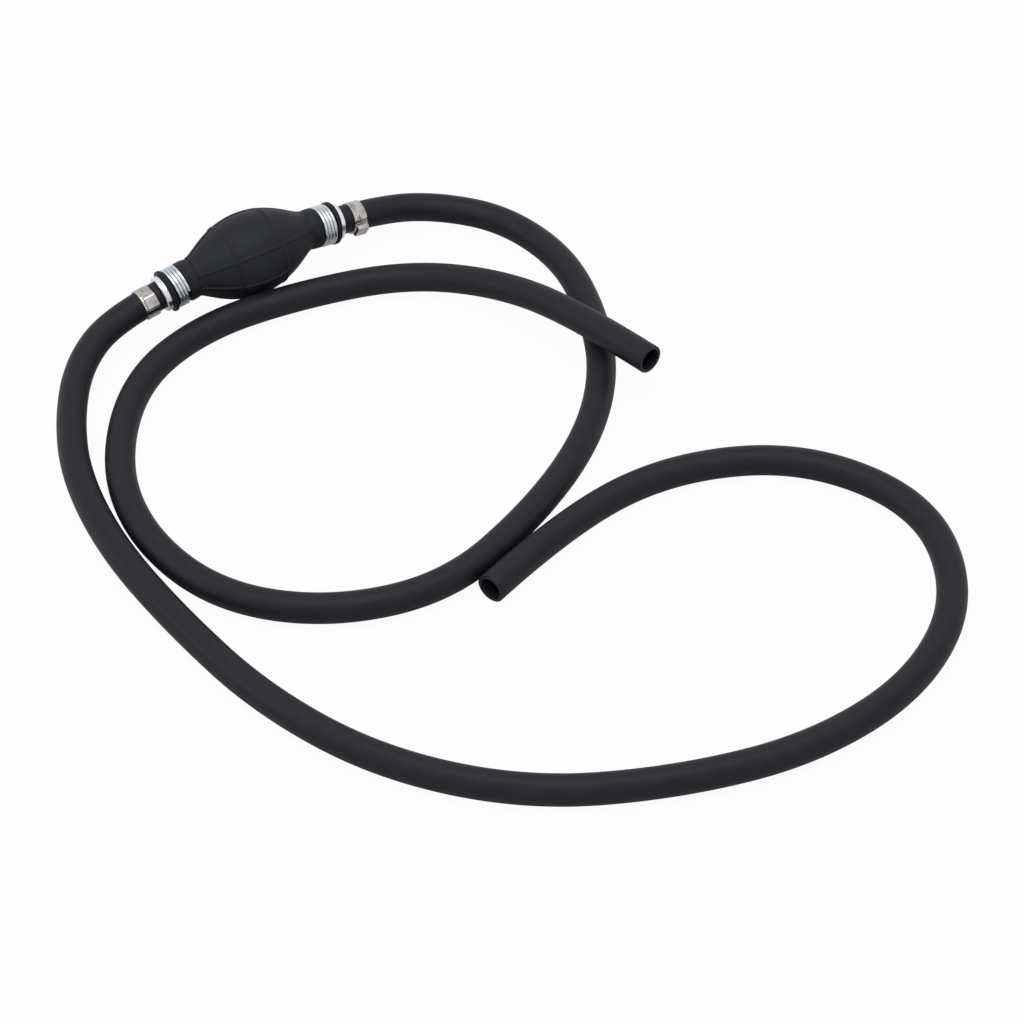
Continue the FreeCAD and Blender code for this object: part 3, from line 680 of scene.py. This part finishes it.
@dataclass(frozen=True)
class Studio:
    """Camera as the picture was taken, plain soft light and a white floor."""

    place: Triple = (-0.56349, -1.08580, 1.06059)
    down: float = 45.0
    turned_right: float = 33.394
    lens: float = 116.0
    sensor: float = 36.0
    sight: float = 20.0
    lamps: tuple[Lamp, ...] = (
        Lamp("overhead_lamp", place=(0.0, -0.25, 1.3), aim=(0.0, -0.2, 0.0), size=1.0, power=8.0),
        Lamp("window_lamp", place=(-1.6, 0.5, 0.9), aim=(0.0, -0.15, 0.0), size=0.9, power=6.0),
    )
    room_colour: Triple = (0.91, 0.95, 1.0)
    room_strength: float = 0.45
    floor_size: float = 8.0
    floor_colour: Triple = (0.4, 0.4, 0.4)
    floor_roughness: float = 0.9
    glow: float = 1.06
    glow_share: float = 0.9
    shade_reach: float = 0.12
    shade_samples: int = 6

    def set_camera(self) -> None:
        """Makes the camera and the scene's view settings."""
        stand_down()
        angles = Euler((math.radians(90.0 - self.down), 0.0, -math.radians(self.turned_right)))
        bpy.ops.object.camera_add(location=self.place, rotation=angles)
        camera = bpy.context.object
        camera.data.lens = self.lens
        camera.data.sensor_width = self.sensor
        camera.data.clip_end = self.sight
        bpy.context.scene.camera = camera
        bpy.context.scene.view_settings.view_transform = "Standard"

    def set_light(self) -> None:
        """Soft lamps above and a pale world round the object."""
        for lamp in self.lamps:
            lamp.hang()
        world = bpy.data.worlds.new("pale_room")
        world.use_nodes = True
        bpy.context.scene.world = world
        tree = world.node_tree
        room = tree.nodes["Background"]
        room.inputs["Color"].default_value = (*self.room_colour, 1.0)
        room.inputs["Strength"].default_value = self.room_strength
        seen = tree.nodes.new("ShaderNodeBackground")
        seen.inputs["Color"].default_value = (1.0, 1.0, 1.0, 1.0)
        seen.inputs["Strength"].default_value = 1.0
        mix_to_surface(tree, seen_rays(tree), room, seen)

    def lay_floor(self) -> None:
        """White floor that keeps a faint shadow; its glow carries painted shade from ambient
        occlusion, darker near the object in reflections.
        """
        stand_down()
        bpy.ops.mesh.primitive_plane_add(size=self.floor_size)
        floor = bpy.context.object
        floor.name = floor.data.name = "floor"
        paper = bpy.data.materials.new("white paper")
        paper.use_nodes = True
        tree = paper.node_tree
        shader = tree.nodes["Principled BSDF"]
        shader.inputs["Base Color"].default_value = (*self.floor_colour, 1.0)
        shader.inputs["Roughness"].default_value = self.floor_roughness
        # Painted shade: ambient occlusion dims the floor's glow for glossy and transmission rays,
        # so reflections of the floor darken near the object; camera rays see the full glow.
        shade = tree.nodes.new("ShaderNodeAmbientOcclusion")
        shade.samples = self.shade_samples
        shade.inputs["Distance"].default_value = self.shade_reach
        path = tree.nodes.new("ShaderNodeLightPath")
        glow_with_painted_shade = computed(tree, "MAXIMUM", path.outputs["Is Camera Ray"], shade.outputs["AO"])
        glow = tree.nodes.new("ShaderNodeEmission")
        tree.links.new(computed(tree, "MULTIPLY", glow_with_painted_shade, self.glow), glow.inputs["Strength"])
        share = computed(tree, "MULTIPLY", seen_rays(tree), self.glow_share)
        mix_to_surface(tree, share, shader, glow)
        floor.data.materials.append(paper)


# Hoses


@dataclass(frozen=True)
class Hose:
    """Free rubber hose on a route of listed points, in millimetres."""

    side: Side
    route: tuple[Triple, ...]
    length: float
    diameter: float = 14.0 * MM
    wall: float = 1.75 * MM
    start: float = 19.9 * MM
    lead: float = 26.1 * MM
    mouth_edge: float = 0.25 * MM
    mouth_angle: float = 50.0
    steps_per_point: int = 20
    round_half: int = 22

    def points(self) -> list[Vector]:
        """Points of the route: two in line with the neck, and then the chosen ones."""
        frame = self.side.frame()
        lead_in = [frame @ Vector((self.start + run, 0.0, 0.0)) for run in (0.0, self.lead)]
        return lead_in + [Vector(point) * MM for point in self.route]

    def line(self, name: str) -> bpy.types.Object:
        """The route as a smooth NURBS line."""
        curve = bpy.data.curves.new(name, "CURVE")
        curve.dimensions = "3D"
        curve.resolution_u = self.steps_per_point
        points = self.points()
        spline = curve.splines.new("NURBS")
        spline.points.add(len(points) - 1)
        for knot, point in zip(spline.points, points):
            knot.co = (*point, 1.0)
        spline.order_u = 3
        spline.use_endpoint_u = True
        line = bpy.data.objects.new(name, curve)
        bpy.context.scene.collection.objects.link(line)
        return line

    def build(self, finishes: Finishes) -> bpy.types.Object:
        """Args:
            finishes: the pump's finishes.

        Returns:
            The hose.
        """
        name = f"{self.side.value}_hose_tube"
        tube = self.line(name)
        bpy.context.view_layer.update()
        traced = bpy.data.meshes.new_from_object(tube)
        bpy.data.meshes.remove(traced)
        tube.data.bevel_depth = self.diameter / 2
        tube.data.bevel_resolution = self.round_half
        take(tube)
        bpy.ops.object.convert(target="MESH")
        with editing(tube):
            tidy_normals()
        give_wall(tube, self.wall, side=-1.0, edge=self.mouth_edge, sharp=self.mouth_angle)
        smooth(tube)
        finishes.dress(tube, Slot.HOSE_RUBBER)
        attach(tube, "root")
        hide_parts(f"{self.side.value}_hose")
        return tube


INLET_HOSE = Hose(Side.INLET, length=0.945, route=(
    (-101, -14, 10.5), (-121, -41, 7.5), (-137, -77, 7.0), (-145, -126, 7.0), (-143, -181, 7.0),
    (-135, -242, 7.0), (-112, -300, 7.0), (-70, -348, 7.0), (-15, -377, 7.0), (45, -394, 7.0),
    (105, -389, 7.0), (153, -359, 7.0), (175, -306, 7.0), (150, -251, 7.0), (97, -223, 7.0),
    (38, -223, 7.0), (-18, -241, 7.0),
))
OUTLET_HOSE = Hose(Side.OUTLET, length=0.924, route=(
    (103, -9, 9.5), (126, -33, 7.5), (134, -72, 7.0), (124, -113, 7.0), (104, -153, 7.0),
    (70, -187, 7.0), (22, -213, 7.0), (-33, -230, 7.0), (-84, -215, 7.0), (-120, -180, 7.0),
    (-131, -131, 7.0), (-120, -82, 7.0), (-84, -36, 7.0), (-38, -20, 7.0), (14, -26, 7.0),
    (64, -42, 7.5), (94, -79, 14.0), (107, -125, 22.0), (116, -172, 24.0),
))


# Squeeze bulb


@dataclass(frozen=True)
class SqueezeBulb:
    """The bulb's ribbed belly, which is one moulding with its two necks on the real pump."""

    belly_radius: float = 20.25 * MM
    crown_half_length: float = 22.5 * MM
    crown_drop: float = 6.2 * MM
    throat_radius: float = 9.6 * MM
    throat_reach: float = 31.6 * MM
    throat_dip: float = 0.3 * MM
    wall: float = 2.2 * MM
    rib_width: float = 1.8 * MM
    rib_height: float = 0.5 * MM
    rib_slope: float = 0.3 * MM
    rib_pitch: float = 45.0
    rib_slack: float = 0.01
    plain_panel_turn: float = 8.0
    hoops: tuple[float, float] = (-13.2 * MM, 10.8 * MM)
    shortest_run: float = 0.1 * MM
    steps: int = 48
    crease: float = 0.6
    crease_angle: float = 28.0
    shading_angle: float = 60.0
    squeezed: float = 0.72

    def crown(self, along: float) -> float:
        """Radius of the crowned part at a place along the bulb."""
        radius = (self.crown_half_length ** 2 + self.crown_drop ** 2) / (2 * self.crown_drop)
        return math.sqrt(radius ** 2 - along ** 2) - (radius - self.belly_radius)

    def outline(self) -> list[Corner]:
        """Half section of the belly, from throat to throat, with a point at each hoop."""
        crown_end = self.crown(self.crown_half_length)
        cone_length = NECK_BEND - self.crown_half_length
        slope = (crown_end - self.throat_radius) / cone_length
        line = [Corner(0.0, self.belly_radius)]
        for way, hoop in zip((-1.0, 1.0), self.hoops):
            offset = abs(hoop)
            crowned = [offset * part / 4 for part in (1, 2, 3, 4)]
            crowned += [offset + (self.crown_half_length - offset) * part / 2 for part in (1, 2)]
            cone = [cone_length * part / 3 for part in (1, 2, 3)]
            half = [Corner(way * along, self.crown(along)) for along in crowned]
            half += [Corner(way * (self.crown_half_length + run), crown_end - slope * run)
                     for run in cone]
            half.append(Corner(way * self.throat_reach, self.throat_radius - self.throat_dip))
            line = half[::-1] + line if way < 0 else line + half
        return line

    def on_rib_line(self, edge: bmesh.types.BMEdge) -> bool:
        """Whether an edge lies on a hoop's line, or on a long rib's line off the plain panel."""
        spots = [vert.co for vert in edge.verts]
        if any(all(abs(spot.x - hoop) < TOUCH for spot in spots) for hoop in self.hoops):
            return True
        if abs(spots[0].x - spots[1].x) < self.shortest_run:
            return False
        turn = math.degrees(math.atan2(spots[0].y, spots[0].z)) / self.rib_pitch
        return abs(turn - round(turn)) < self.rib_slack and round(turn) != 0

    def build_belly(self, finishes: Finishes) -> bpy.types.Object:
        """Turns the belly, raises its ribs, smooths it and gives it its wall.

        Args:
            finishes: the pump's finishes.

        Returns:
            The belly.
        """
        belly = turned("squeeze_bulb_belly", self.outline(), self.steps, closed=False)
        with editing(belly):
            pick(Element.EDGE, self.on_rib_line)
            bpy.ops.mesh.bevel(offset=self.rib_width / 2, segments=1, affect="EDGES")
            bpy.ops.mesh.select_mode(type="FACE")
            bpy.ops.mesh.inset(thickness=self.rib_slope, depth=self.rib_height,
                               use_boundary=False)
            bpy.ops.mesh.select_mode(type="EDGE")
            bpy.ops.mesh.select_all(action="DESELECT")
            bpy.ops.mesh.edges_select_sharp(sharpness=math.radians(self.crease_angle))
            bpy.ops.transform.edge_crease(value=self.crease)
        rounding = belly.modifiers.new("rounding", "SUBSURF")
        rounding.levels = rounding.render_levels = 2
        wall = belly.modifiers.new("wall", "SOLIDIFY")
        wall.thickness = self.wall
        wall.offset = -1.0
        apply_modifiers(belly)
        turn = Matrix.Rotation(math.radians(self.plain_panel_turn), 4, "X")
        settle(belly, Matrix.Translation((0.0, 0.0, AXIS_HEIGHT)) @ turn)
        smooth(belly, self.shading_angle)
        finishes.dress(belly, Slot.BULB_RUBBER)
        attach(belly, "root")
        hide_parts("squeeze_bulb")
        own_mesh(belly)
        return belly


@dataclass(frozen=True)
class Neck:
    """Neck of the bulb: collar, seat of the wire clamp and lip."""

    root: float = -2.6 * MM
    root_radius: float = 7.9 * MM
    tail_end: float = -1.1 * MM
    passage: float = 5.2 * MM
    bore: float = 6.8 * MM
    collar_start: float = 2.6 * MM
    collar_radius: float = 10.0 * MM
    collar_shoulder: float = 1.6 * MM
    bead_back: float = 1.5 * MM
    lip_end: float = 16.8 * MM
    lip_radius: float = 10.6 * MM
    edge_rounding: float = 0.5 * MM
    groove: float = 0.22 * MM
    steps: int = 96
    shading_angle: float = 32.0

    def outline(self, collar_end: float) -> list[Corner]:
        """Closed half section, from the bulb outwards and back along the bore.

        Args:
            collar_end: where the collar ends.

        Returns:
            The section's corners.
        """
        lip_middle = (LIP_START + self.lip_end) / 2
        bead = collar_end - self.bead_back
        return [
            Corner(self.root, self.passage),
            Corner(self.root, self.root_radius),
            Corner(self.collar_start, self.collar_radius, self.collar_shoulder),
            Corner(bead - self.groove, self.collar_radius),
            Corner(bead, self.collar_radius - self.groove),
            Corner(bead + self.groove, self.collar_radius),
            Corner(collar_end, self.collar_radius, self.edge_rounding),
            Corner(collar_end, SEAT_RADIUS),
            Corner(LIP_START, SEAT_RADIUS),
            Corner(LIP_START, self.lip_radius, self.edge_rounding),
            Corner(lip_middle - self.groove, self.lip_radius),
            Corner(lip_middle, self.lip_radius - self.groove),
            Corner(lip_middle + self.groove, self.lip_radius),
            Corner(self.lip_end, self.lip_radius, self.edge_rounding),
            Corner(self.lip_end, self.bore),
            Corner(self.tail_end, self.bore),
            Corner(self.tail_end, self.passage),
        ]

    def build(self, side: Side, finishes: Finishes) -> bpy.types.Object:
        """Turns a neck in its place.

        Args:
            side: inlet or outlet.
            finishes: the pump's finishes.

        Returns:
            The neck.
        """
        neck = turned(f"{side.value}_neck", self.outline(side.collar_end()), self.steps)
        settle(neck, side.frame())
        smooth(neck, self.shading_angle)
        finishes.dress(neck, Slot.BULB_RUBBER)
        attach(neck, "root")
        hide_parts("squeeze_bulb")
        return neck


# Clamps


@dataclass(frozen=True)
class WireClamp:
    """Zinc wire wound round a neck, with its ends cut square."""

    turns: float = 3.5
    packing: float = 0.98
    starts: dict[Side, float] = field(
        default_factory=lambda: {Side.INLET: 111.0, Side.OUTLET: -44.0})
    end_share: float = 0.7
    end_edge: float = 0.15 * MM

    def build(self, side: Side, finishes: Finishes) -> bpy.types.Object:
        """Winds the clamp in its place.

        Args:
            side: inlet or outlet.
            finishes: the pump's finishes.

        Returns:
            The clamp.
        """
        pitch = (LIP_START - side.collar_end()) / (self.turns + self.packing)
        wire = pitch * self.packing
        coil = wound(f"{side.value}_wire_coil", wire, SEAT_RADIUS + wire / 2,
                     side.collar_end() + wire / 2, pitch, self.turns)
        with editing(coil):
            pick(Element.FACE, is_coil_end)
            bpy.ops.mesh.extrude_faces_move(
                TRANSFORM_OT_shrink_fatten={"value": wire * self.end_share})
            pick(Element.FACE, is_coil_end)
            bpy.ops.mesh.bevel(offset=self.end_edge, segments=2, affect="EDGES")
        turn = Matrix.Rotation(math.radians(self.starts[side]), 4, "X")
        settle(coil, side.frame() @ turn)
        smooth(coil)
        finishes.dress(coil, Slot.ZINC_WIRE)
        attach(coil, "root")
        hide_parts(f"{side.value}_wire_clamp")
        return coil


@dataclass(frozen=True)
class EarClamp:
    """Strip clamp in its own frame: its ear points up, and its strip laps over one side."""

    places: dict[Side, float] = field(
        default_factory=lambda: {Side.INLET: 27.325 * MM, Side.OUTLET: 29.225 * MM})
    ear_turns: dict[Side, float] = field(
        default_factory=lambda: {Side.INLET: 129.0, Side.OUTLET: 117.0})
    swaps: dict[Side, float] = field(
        default_factory=lambda: {Side.INLET: 180.0, Side.OUTLET: 0.0})
    inside: float = 7.0 * MM
    strip: float = 0.5 * MM
    width: float = 7.0 * MM
    strip_edge: float = 0.14 * MM
    strip_angle: float = 40.0
    lap_start: float = 33.0
    lap_end: float = 150.0
    lap_corner: float = 1.6 * MM
    lap_corner_steps: int = 5
    lap_slack: float = 0.001
    window_half: float = 1.0 * MM
    window_start: float = 44.0
    window_end: float = 76.0
    hook_half: float = 0.5 * MM
    hook_length: float = 2.6 * MM
    hook_aside: float = -0.2 * MM
    hook_rise: float = 0.9 * MM
    hook_edge: float = 0.25 * MM
    hook_sides: int = 32
    ear_foot: float = 3.45 * MM
    ear_shoulder: float = 2.95 * MM
    ear_top: float = 9.4 * MM
    ear_length: float = 6.0 * MM
    ear_toe: float = 1.1 * MM
    foot_rounding: float = 0.5 * MM
    shoulder_rounding: float = 0.7 * MM
    ring_steps: int = 96
    lap_steps: int = 38

    def frame(self, side: Side) -> Matrix:
        """Frame of a clamp: its ear up and its strip along X."""
        return (side.frame() @ Matrix.Translation((self.places[side], 0.0, 0.0))
                @ Matrix.Rotation(math.radians(self.ear_turns[side]), 4, "X")
                @ Matrix.Rotation(math.radians(self.swaps[side]), 4, "Z"))

    def thicken(self, sheet: bpy.types.Object) -> None:
        """Gives a sheet the strip's thickness, outwards."""
        give_wall(sheet, self.strip, side=1.0, edge=self.strip_edge, sharp=self.strip_angle)

    def band(self, name: str) -> bpy.types.Object:
        """The strip's inner turn, round the hose."""
        half = self.width / 2
        outside = self.inside + self.strip
        return turned(name, [Corner(-half, self.inside), Corner(-half, outside, self.strip_edge),
                             Corner(half, outside, self.strip_edge), Corner(half, self.inside)],
                      self.ring_steps)

    def lap(self, name: str) -> bpy.types.Object:
        """The strip's outer turn, from beside the ear, with its window and rounded end."""
        half = self.width / 2
        out = self.inside + self.strip
        lap = drawn(name, [Corner(along, out) for along in
                           (-half, -self.window_half, self.window_half, half)], closed=False)
        reach = math.radians(self.lap_end - self.lap_start)
        with editing(lap):
            bpy.ops.mesh.select_all(action="SELECT")
            bpy.ops.mesh.spin(steps=self.lap_steps, angle=-reach, center=(0, 0, 0), axis=X_AXIS)
            tidy_normals()
            pick(Element.FACE, lambda face: self.in_window(face.calc_center_median()))
            bpy.ops.mesh.delete(type="FACE")
            pick(Element.VERT, lambda vert: abs(abs(vert.co.x) - half) < TOUCH
                 and self.round_from_start(vert.co) > reach - self.lap_slack)
            bpy.ops.mesh.bevel(offset=self.lap_corner, segments=self.lap_corner_steps,
                               affect="VERTICES")
        settle(lap, Matrix.Rotation(-math.radians(self.lap_start), 4, "X"))
        self.thicken(lap)
        return lap

    @staticmethod
    def round_from_start(spot: Vector) -> float:
        """Angle of a place round the axis in radians, from straight up towards +Y."""
        return math.atan2(spot.y, spot.z)

    def in_window(self, spot: Vector) -> bool:
        """Whether a place on the unturned lap lies in its window."""
        turn = math.degrees(self.round_from_start(spot)) + self.lap_start
        return abs(spot.x) < self.window_half and self.window_start < turn < self.window_end

    def hook(self, name: str) -> bpy.types.Object:
        """The raised hook that catches in the window."""
        out = self.inside + self.strip
        top = out + self.hook_rise
        stand_down()
        bpy.ops.mesh.primitive_cylinder_add(vertices=self.hook_sides, radius=self.hook_half,
                                            depth=2 * self.hook_rise,
                                            location=(self.hook_aside, 0.0, out))
        hook = bpy.context.object
        hook.name = hook.data.name = name
        hook.scale.y = self.hook_length / (2 * self.hook_half)
        settle(hook, Matrix.Identity(4))
        with editing(hook):
            pick(Element.EDGE, lambda edge: all(abs(vert.co.z - top) < TOUCH
                                                for vert in edge.verts))
            bpy.ops.mesh.bevel(offset=self.hook_edge, segments=3, affect="EDGES")
        middle = math.radians((self.window_start + self.window_end) / 2)
        settle(hook, Matrix.Rotation(-middle, 4, "X"))
        return hook

    def ear(self, name: str) -> bpy.types.Object:
        """The ear: strip folded up into an open box."""
        out = self.inside + self.strip
        foot_rise = math.sqrt(out ** 2 - self.ear_foot ** 2)
        toe = self.ear_foot + self.ear_toe
        toe_rise = math.sqrt(out ** 2 - toe ** 2)
        half = [(toe, toe_rise, 0.0), (self.ear_foot, foot_rise, self.foot_rounding),
                (self.ear_shoulder, self.ear_top - self.strip, self.shoulder_rounding)]
        line = [(-across, up, rounding) for across, up, rounding in half] + half[::-1]
        ear = drawn(name, [Corner(*spot) for spot in line], closed=False)
        with editing(ear):
            bpy.ops.mesh.select_all(action="SELECT")
            bpy.ops.transform.translate(value=(0.0, -self.width / 2, 0.0))
            bpy.ops.mesh.extrude_region_move(
                TRANSFORM_OT_translate={"value": (0.0, self.ear_length, 0.0)})
            tidy_normals()
        settle(ear, Matrix.Rotation(math.pi / 2, 4, "Z"))
        with editing(ear):
            if pick(Element.FACE, lambda face: face.normal.z < -0.5):
                bpy.ops.mesh.select_all(action="SELECT")
                bpy.ops.mesh.flip_normals()
        self.thicken(ear)
        return ear

    def build(self, side: Side, finishes: Finishes) -> bpy.types.Object:
        """Builds a clamp in its place.

        Args:
            side: inlet or outlet.
            finishes: the pump's finishes.

        Returns:
            The clamp.
        """
        name = f"{side.value}_ear_strip"
        clamp = joined([self.band(name), self.lap("lap"), self.hook("hook"), self.ear("ear")],
                       name)
        settle(clamp, self.frame(side))
        smooth(clamp)
        finishes.dress(clamp, Slot.STAINLESS_STRIP)
        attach(clamp, "root")
        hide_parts(f"{side.value}_ear_clamp")
        return clamp


# Valve springs


@dataclass(frozen=True)
class ValveSpring:
    """Return spring of a valve, which shortens as its poppet lifts."""

    wire: float = 0.25 * MM
    radius: float = 2.175 * MM
    turns: float = 6.0
    start: float = 3.95 * MM
    end: float = 10.45 * MM
    lift: float = 2.0 * MM
    shoulder: float = 14.0 * MM
    stack_start: float = 1.0 * MM

    def frame(self, side: Side) -> Matrix:
        """Frame of a valve: +X the way the water flows, from its seat ring."""
        if side is Side.OUTLET:
            return side.frame() @ Matrix.Translation((self.stack_start, 0.0, 0.0))
        return (side.frame() @ Matrix.Translation((self.shoulder, 0.0, 0.0))
                @ Matrix.Rotation(math.pi, 4, "Z"))

    def build(self, side: Side, finishes: Finishes) -> bpy.types.Object:
        """Winds a spring in its place.

        Args:
            side: inlet or outlet.
            finishes: the pump's finishes.

        Returns:
            The spring.
        """
        frame = self.frame(side)
        length = self.end - self.start
        spring = wound(f"{side.value}_return_spring", self.wire, self.radius,
                       self.start + self.wire / 2, (length - self.wire) / self.turns, self.turns)
        settle(spring, frame)
        smooth(spring)
        finishes.dress(spring, Slot.SPRING_STEEL)
        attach(spring, "root")
        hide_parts(f"{side.value}_valve_spring")
        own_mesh(spring)
        return spring


def main() -> None:
    """Builds the pump round its frame, piece by piece."""
    logging.basicConfig(level=logging.INFO, format="%(name)s: %(message)s")
    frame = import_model()
    studio = Studio()
    studio.set_camera()
    finishes = Finishes()
    made = [hose.build(finishes) for hose in (INLET_HOSE, OUTLET_HOSE)]
    made.append(SqueezeBulb().build_belly(finishes))
    for side in Side:
        made.append(Neck().build(side, finishes))
        made.append(WireClamp().build(side, finishes))
        made.append(EarClamp().build(side, finishes))
        made.append(ValveSpring().build(side, finishes))
    slots = {part["node"]: Slot(part["material_slot"]) for part in frame["record"]["subparts"]}
    for node, solid in frame["nodes"].items():
        finishes.dress(solid, slots[node])
    for piece in made:
        LOG.info("%s: %d faces", piece.name, len(piece.data.polygons))
    studio.lay_floor()
    studio.set_light()


if __name__ == "__main__":
    main()
